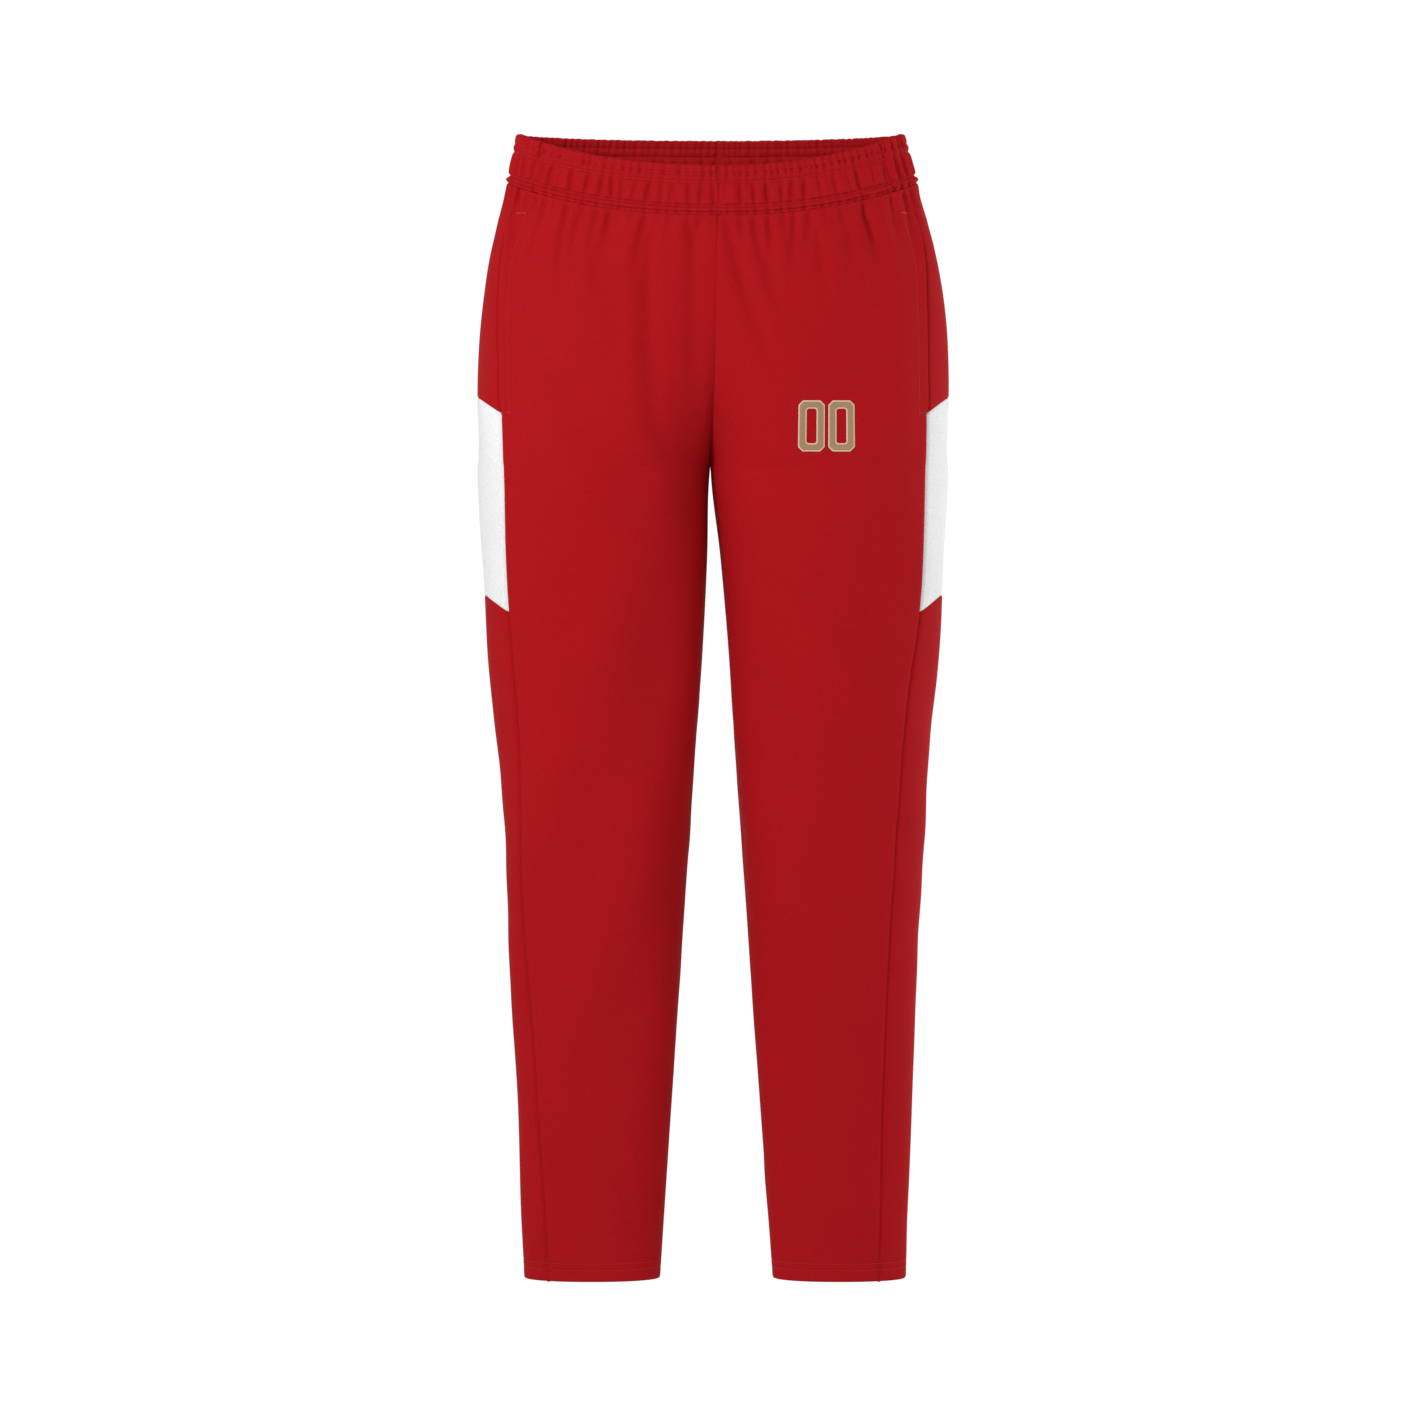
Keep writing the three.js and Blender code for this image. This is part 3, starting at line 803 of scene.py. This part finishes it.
def add_waistband(side):
    """The fold-over casing of one side, in a front and a back length."""
    label = LABEL[side]
    parts = (
        ("waistband_front", 0, BAND_SEAM),
        ("waistband_back", BAND_SEAM, CENTRE_BACK),
    )
    falls = spaced([(BAND_HEIGHT - BAND_GAP, 0.9), (2.2, 0.6), (1.4, 1)])
    for name, first, last in parts:
        columns = columns_between(first, last, 0.1)
        column = columns[None, :]
        roll = turned_in(len(columns), 1.0)[None, :]
        for seam in (first, last):
            from_seam = arc(side, -BAND_HEIGHT, column) - arc(side, -BAND_HEIGHT, seam)
            roll = roll + 2.6 * bump(from_seam, 1.9)
        outer = band_point(side, falls[:, None], column, 1, -roll)
        inner = band_point(side, falls[::-1, None], column, -1, -roll)
        ridge = 0.35 * band_relief(side, 3.0, column, 1)
        bends = np.linspace(0, math.pi, 9)[1:-1]
        start, end = outer[-1], inner[0]
        middle, reach = (start + end) / 2, (start - end) / 2
        up = np.array([0, 0, 1.0])
        height = falls[-1] + 0.4 + ridge[0]
        fold = [middle + reach * math.cos(t) + up * (height * math.sin(t))[:, None] for t in bends]
        grid = np.concatenate([outer, np.stack(fold), inner])
        steps = [float(np.linalg.norm(b - a, axis=1).mean()) for a, b in zip(grid, grid[1:])]
        path = np.cumsum([0.0] + steps)
        across = np.broadcast_to(arc(side, -BAND_HEIGHT, columns), (len(path), len(columns)))
        uv = np.stack([across, np.broadcast_to(path[:, None], across.shape)], -1)
        piece = cloth_piece(f"{name}_casing_{label}", grid, CLOTH, uv, side)
        finish_piece(piece, red_knit, [f"{name}_{label}"])


# ---- Pocket bags and facings ----


def bag_bottom(columns):
    """The bag's bottom edge, rounded at its inner corner."""
    inwards = np.clip((BAG_COLUMN + 3 - columns) / 3, 0, 1)
    return BAG_BOTTOM + 34 * (1 - np.sqrt(1 - 0.98 * inwards**2))


def facing_bottom(columns):
    """The facing's bottom edge."""
    return np.full(len(columns), float(FACING_BOTTOM))


def add_pocket(side):
    """The three layers of a pocket, from the outside in."""
    label = LABEL[side]
    seam = band_seam(side)
    layers = (
        ("pocket_bag_front", BAG_COLUMN, bag_bottom, 2.2, LINING, lining_knit, "pocket_lining"),
        ("pocket_facing", FACING_COLUMN, facing_bottom, 3.4, CLOTH, red_knit, "shell_knit"),
        ("pocket_bag_back", BAG_COLUMN, bag_bottom, 4.9, LINING, lining_knit, "pocket_lining"),
    )
    for name, first, bottom, depth, thick, material, slot in layers:
        columns = columns_between(first, SIDE_FRONT - 0.05, 0.25)
        shares = np.linspace(0, 1, 90)
        z = seam(columns)[None, :] - 1.5 + shares[:, None] * (bottom(columns) - seam(columns) + 1.5)
        ripple = 0.25 * np.sin(z / 17 + side + depth) * np.sin(columns[None, :] * 1.9)
        grid = body_point(side, z, columns[None, :], depth + ripple)
        uv = np.stack([arc(side, z, columns[None, :]), z], -1)
        piece = cloth_piece(f"{name}_cloth_{label}", grid, thick, uv, -side)
        finish_piece(piece, material, [f"{name}_{label}"])
        declare_cut(piece, side, first, SIDE_FRONT, seam, bottom)


# ---- Stitches ----


THREAD_SIDES = 6
# The leg's middle at the hem, and how deep the hem's stitches lie on its outside and on its inside.
LEG_AXIS_X = 112
HEM_STITCH_DEPTHS = (0.25, 2.75)
BARTACK_STITCHES = 22
# A stitch's rings: their share of its length, how far they stand off the cloth, their share of its radius.
STITCH = ((0.0, -0.32, 0.5), (0.12, 0.02, 0.9), (0.5, 0.14, 1.0), (0.88, 0.02, 0.9), (1.0, -0.32, 0.5))


def stitch_mesh(lines, pitch=2.7, length=1.95, radius=0.26):
    """Points and faces of small thread tubes along lines of (points, normals)."""
    sides = THREAD_SIDES
    points, faces = [], []
    base = 0
    for line, normals in lines:
        steps = np.concatenate([[0], np.cumsum(np.linalg.norm(np.diff(line, axis=0), axis=1))])
        starts = np.arange(0.1 * pitch, steps[-1] - length, pitch)
        rings = []
        for share, lift, fat in STITCH:
            at = starts + share * length
            centre = np.stack([np.interp(at, steps, line[:, k]) for k in range(3)], 1)
            out = np.stack([np.interp(at, steps, normals[:, k]) for k in range(3)], 1)
            ahead = np.stack([np.interp(at + 0.2, steps, line[:, k]) for k in range(3)], 1)
            along = ahead - np.stack([np.interp(at - 0.2, steps, line[:, k]) for k in range(3)], 1)
            along /= np.linalg.norm(along, axis=1, keepdims=True)
            across = np.cross(along, out)
            across /= np.linalg.norm(across, axis=1, keepdims=True)
            turns = np.arange(sides) * 2 * math.pi / sides
            ring = (
                centre[:, None]
                + out[:, None] * (lift + radius * fat * np.sin(turns))[None, :, None]
                + across[:, None] * (radius * fat * np.cos(turns))[None, :, None]
            )
            rings.append(ring)
        block = np.stack(rings, 1)
        points.append(block.reshape(-1, 3))
        count = len(STITCH) * sides
        for i in range(len(starts)):
            first = base + i * count
            for r in range(len(STITCH) - 1):
                for k in range(sides):
                    a, b = first + r * sides + k, first + r * sides + (k + 1) % sides
                    faces.append((a, b, b + sides, a + sides))
            faces.append(tuple(first + k for k in reversed(range(sides))))
            faces.append(tuple(first + count - sides + k for k in range(sides)))
        base += len(starts) * count
    return np.concatenate(points), faces


def surface_line(place):
    """The points and normals of a line on a surface. place(shift_z, shift_column) gives its points."""
    line = place(0, 0)
    down = place(-0.4, 0) - place(0.4, 0)
    across = place(0, 0.03) - place(0, -0.03)
    normal = np.cross(across, down)
    normal /= np.linalg.norm(normal, axis=1, keepdims=True)
    return line, normal


def outward(line, normal, axis_x):
    """Turns normals away from the axis of the leg at axis_x."""
    away = line - np.array([axis_x, 0, 0])
    away[:, 2] = 0
    flip = np.sign((normal * away).sum(1, keepdims=True))
    return line, normal * flip


def band_line(side, row, walls):
    """One row of stitches along the waistband's outer (walls 1) or inner (walls -1) face."""
    columns = np.linspace(0.03, CENTRE_BACK - 0.03, 900)

    def place(dz, dc):
        return band_point(side, row - dz, columns + dc, walls, 0.05)

    line, normal = outward(*surface_line(place), 0)
    return line, normal * walls


def hem_stitch_line(side, row, depth):
    """One row of stitches round a hem, on its outer face or deeper, on its turned-up inside."""
    columns = np.linspace(0.03, CENTRE_BACK - 0.03, 700)

    def place(dz, dc):
        return body_point(side, HEM_Z + row + dz, np.clip(columns + dc, 0, CENTRE_BACK), depth)

    line, normal = outward(*surface_line(place), side * LEG_AXIS_X)
    return line, normal if depth < 1 else -normal


def add_stitches():
    """The waistband's, hems' and pocket mouths' rows of stitches."""
    halves = (LEFT, RIGHT)
    band_rows = [band_line(side, row, walls) for walls in (1, -1) for row in BAND_ROWS for side in halves]
    points, faces = stitch_mesh(band_rows)
    band = make_mesh("waistband_stitching", points, faces)
    finish_piece(band, red_thread)
    for side in halves:
        hem_rows = [hem_stitch_line(side, row, depth) for row in HEM_ROWS for depth in HEM_STITCH_DEPTHS]
        points, faces = stitch_mesh(hem_rows)
        finish_piece(make_mesh(f"hem_stitching_{LABEL[side]}", points, faces), red_thread)

        heights = np.linspace(POCKET_TOP, POCKET_BOTTOM - 3, 400)
        drop = (POCKET_TOP - heights) / (POCKET_TOP - POCKET_BOTTOM)
        inboard = 11 + 4 * (1 - smooth_step(drop * 4))
        line, normal = front_line(side, heights, inboard)
        points, faces = stitch_mesh([(line, normal)])
        name = f"pocket_topstitching_{LABEL[side]}"
        finish_piece(make_mesh(name, points, faces), red_thread)


def front_line(side, heights, inboard):
    """A line on the front panel at distances inboard of its side seam, with its normals."""
    lift = pocket_lift(side)
    column = column_at_arc(side, heights, arc(side, heights, SIDE_FRONT) - inboard)

    def place(dz, dc):
        return body_point(side, heights + dz, column + dc, -0.03 - lift(heights + dz, column + dc))

    return outward(*surface_line(place), side * 60)


def column_at_arc(side, heights, wanted):
    """The front panel's column at a distance round the leg from the centre front."""
    return SIDE_FRONT * wanted / arc(side, heights, SIDE_FRONT)


def add_bartacks(side):
    """Bars of close satin stitches at the ends of the pocket's mouth."""
    ends = (("top", POCKET_TOP, 4.5, 11), ("bottom", POCKET_BOTTOM - 2.2, 0.5, 10))
    for end, z, start, length in ends:
        lines = []
        for i in range(BARTACK_STITCHES):
            heights = np.linspace(z + 1.1, z - 1.1, 12) + (0.25 if i % 2 else -0.25)
            lines.append(front_line(side, heights, start + length * i / (BARTACK_STITCHES - 1)))
        points, faces = stitch_mesh(lines, pitch=2.1, length=1.85, radius=0.36)
        name = f"pocket_bartack_{end}_{LABEL[side]}"
        piece = make_mesh(f"{name}_threads", points, faces)
        finish_piece(piece, red_thread, [name])


# ---- Number ----

DIGIT_WIDTH, DIGIT_HEIGHT, STROKE, CORNER, EDGE = 23.4, 45.4, 7.3, 4.0, 1.1
NUMBER_X, NUMBER_Z, DIGIT_SPACE = 101, -264, 3.2


def cut_rectangle(width, height, corner, steps):
    """Points round a rectangle with cut corners, with the same number on each of its eight sides."""
    x, y = width / 2, height / 2
    corners = np.array(
        [
            (x - corner, -y),
            (x, corner - y),
            (x, y - corner),
            (x - corner, y),
            (corner - x, y),
            (-x, y - corner),
            (-x, corner - y),
            (corner - x, -y),
        ]
    )
    shares = np.arange(steps) / steps
    ends = np.roll(corners, -1, 0)
    return np.concatenate([a + shares[:, None] * (b - a) for a, b in zip(corners, ends)])


def add_number():
    """Two generic digits, each a cream backing and a gold face of film."""
    step = (DIGIT_WIDTH + DIGIT_SPACE) / 2
    layers = (("backing", 0.0, 0.12, cream_film), ("face", EDGE, 0.38, gold_film))
    for place, middle in (("first", NUMBER_X - step), ("second", NUMBER_X + step)):
        for part, edge, lift, material in layers:
            width, height = DIGIT_WIDTH - 2 * edge, DIGIT_HEIGHT - 2 * edge
            outer = cut_rectangle(width, height, CORNER - edge / 2, 14)
            hole_width = DIGIT_WIDTH - 2 * STROKE + 2 * edge
            hole_height = DIGIT_HEIGHT - 2 * STROKE + 2 * edge
            inner = cut_rectangle(hole_width, hole_height, CORNER / 3 + edge / 2, 14)
            shares = np.array([0, 0.03, 0.25, 0.5, 0.75, 0.97, 1.0])
            sink = np.array([0.12, 0.02, 0, 0, 0, 0.02, 0.12])
            flat = outer[None] + shares[:, None, None] * (inner - outer)[None]
            x, z = middle + flat[..., 0], NUMBER_Z + flat[..., 1]
            angle = -angle_at_x(z, x)
            column = column_of_angle(LEFT, z, angle)
            grid = body_point(LEFT, z, column, -lift - 0.22 + sink[:, None])
            piece = cloth_piece(f"number_{place}_digit_{part}_film", grid, 0.22, flat, 1, wraps=True)
            finish_piece(piece, material, [f"number_{place}_digit_{part}"])


def column_of_angle(side, z, angle):
    """The front panel's column at an angle round the leg."""
    columns = np.linspace(0, SIDE_FRONT, 111)
    found = np.empty(z.shape)
    for index in np.ndindex(z.shape):
        known = column_angle(side, z[index], columns)
        found[index] = np.interp(angle[index], known, columns)
    return found


# ---- Build ----

for half in (LEFT, RIGHT):
    add_panels(half)
    add_waistband(half)
    add_pocket(half)
    add_bartacks(half)
add_elastic()
add_stitches()
add_number()

# ---- Studio ----

scene = bpy.context.scene
scene.view_settings.view_transform = "Standard"
world = bpy.data.worlds.new("studio")
world.use_nodes = True
sky = world.node_tree
direction = sky.nodes.new("ShaderNodeSeparateXYZ")
sky.links.new(sky.nodes.new("ShaderNodeTexCoord").outputs["Generated"], direction.inputs[0])
above_wall = math_node(sky, "SUBTRACT", math_node(sky, "ABSOLUTE", direction.outputs[2]), 0.22)
dimmed = math_node(sky, "MULTIPLY_ADD", above_wall, -3.0, 1.0)
level = math_node(sky, "MAXIMUM", math_node(sky, "MINIMUM", dimmed, 1.0), 0.38)
sky.links.new(level, sky.nodes["Background"].inputs["Color"])
sky.nodes["Background"].inputs["Strength"].default_value = 1.02
scene.world = world

# The floor, in metres, ends behind the object, so that the main view's background stays white.
FLOOR_Z, FLOOR_REACH, FLOOR_BACK = -1.4, 20, 1.2
floor_corners = [
    (-FLOOR_REACH, -FLOOR_REACH, FLOOR_Z),
    (FLOOR_REACH, -FLOOR_REACH, FLOOR_Z),
    (FLOOR_REACH, FLOOR_BACK, FLOOR_Z),
    (-FLOOR_REACH, FLOOR_BACK, FLOOR_Z),
]
floor_mesh = bpy.data.meshes.new("floor")
floor_mesh.from_pydata(floor_corners, [], [(0, 1, 2, 3)])
floor = bpy.data.objects.new("floor", floor_mesh)
scene.collection.objects.link(floor)
floor_material = bpy.data.materials.new("pale_floor")
floor_material.use_nodes = True
floor_shader = floor_material.node_tree.nodes["Principled BSDF"]
floor_shader.inputs["Base Color"].default_value = (0.9, 0.9, 0.9, 1)
floor_shader.inputs["Roughness"].default_value = 0.9
floor_mesh.materials.append(floor_material)


# The height in metres that the lights are aimed at, and how far off they stand.
LIGHTS_AIM_Z, LIGHTS_AWAY = -0.25, 2.0


def softbox(name, azimuth, elevation, power, size):
    """A square soft light aimed at the hips; azimuth 0 is straight in front."""
    light = bpy.data.lights.new(name, "AREA")
    light.energy, light.size = power, size
    lamp = bpy.data.objects.new(name, light)
    a, e = math.radians(azimuth), math.radians(elevation)
    away = np.array([math.sin(a) * math.cos(e), -math.cos(a) * math.cos(e), math.sin(e)])
    lamp.location = np.array([0, 0, LIGHTS_AIM_Z]) + LIGHTS_AWAY * away
    lamp.rotation_euler = (math.pi / 2 - e, 0, a)
    scene.collection.objects.link(lamp)


softbox("key_light", -42, 16, 20.5, 0.6)
softbox("front_light", -6, 34, 4, 0.8)
softbox("fill_light", 58, 6, 4, 0.9)
softbox("side_light", 98, 8, 15, 0.9)

camera = bpy.data.objects.new("camera", bpy.data.cameras.new("camera"))
camera.data.lens = 120
camera.data.sensor_width = 36
FRAME_WIDTH, TARGET, TILT = 1.285, (-0.0054, 0.0, -0.518), 2.2
distance = FRAME_WIDTH * camera.data.lens / camera.data.sensor_width
tilt = math.radians(TILT)
camera.location = (TARGET[0], -distance * math.cos(tilt), TARGET[2] + distance * math.sin(tilt))
camera.rotation_euler = (math.pi / 2 - tilt, 0, 0)
scene.collection.objects.link(camera)
scene.camera = camera
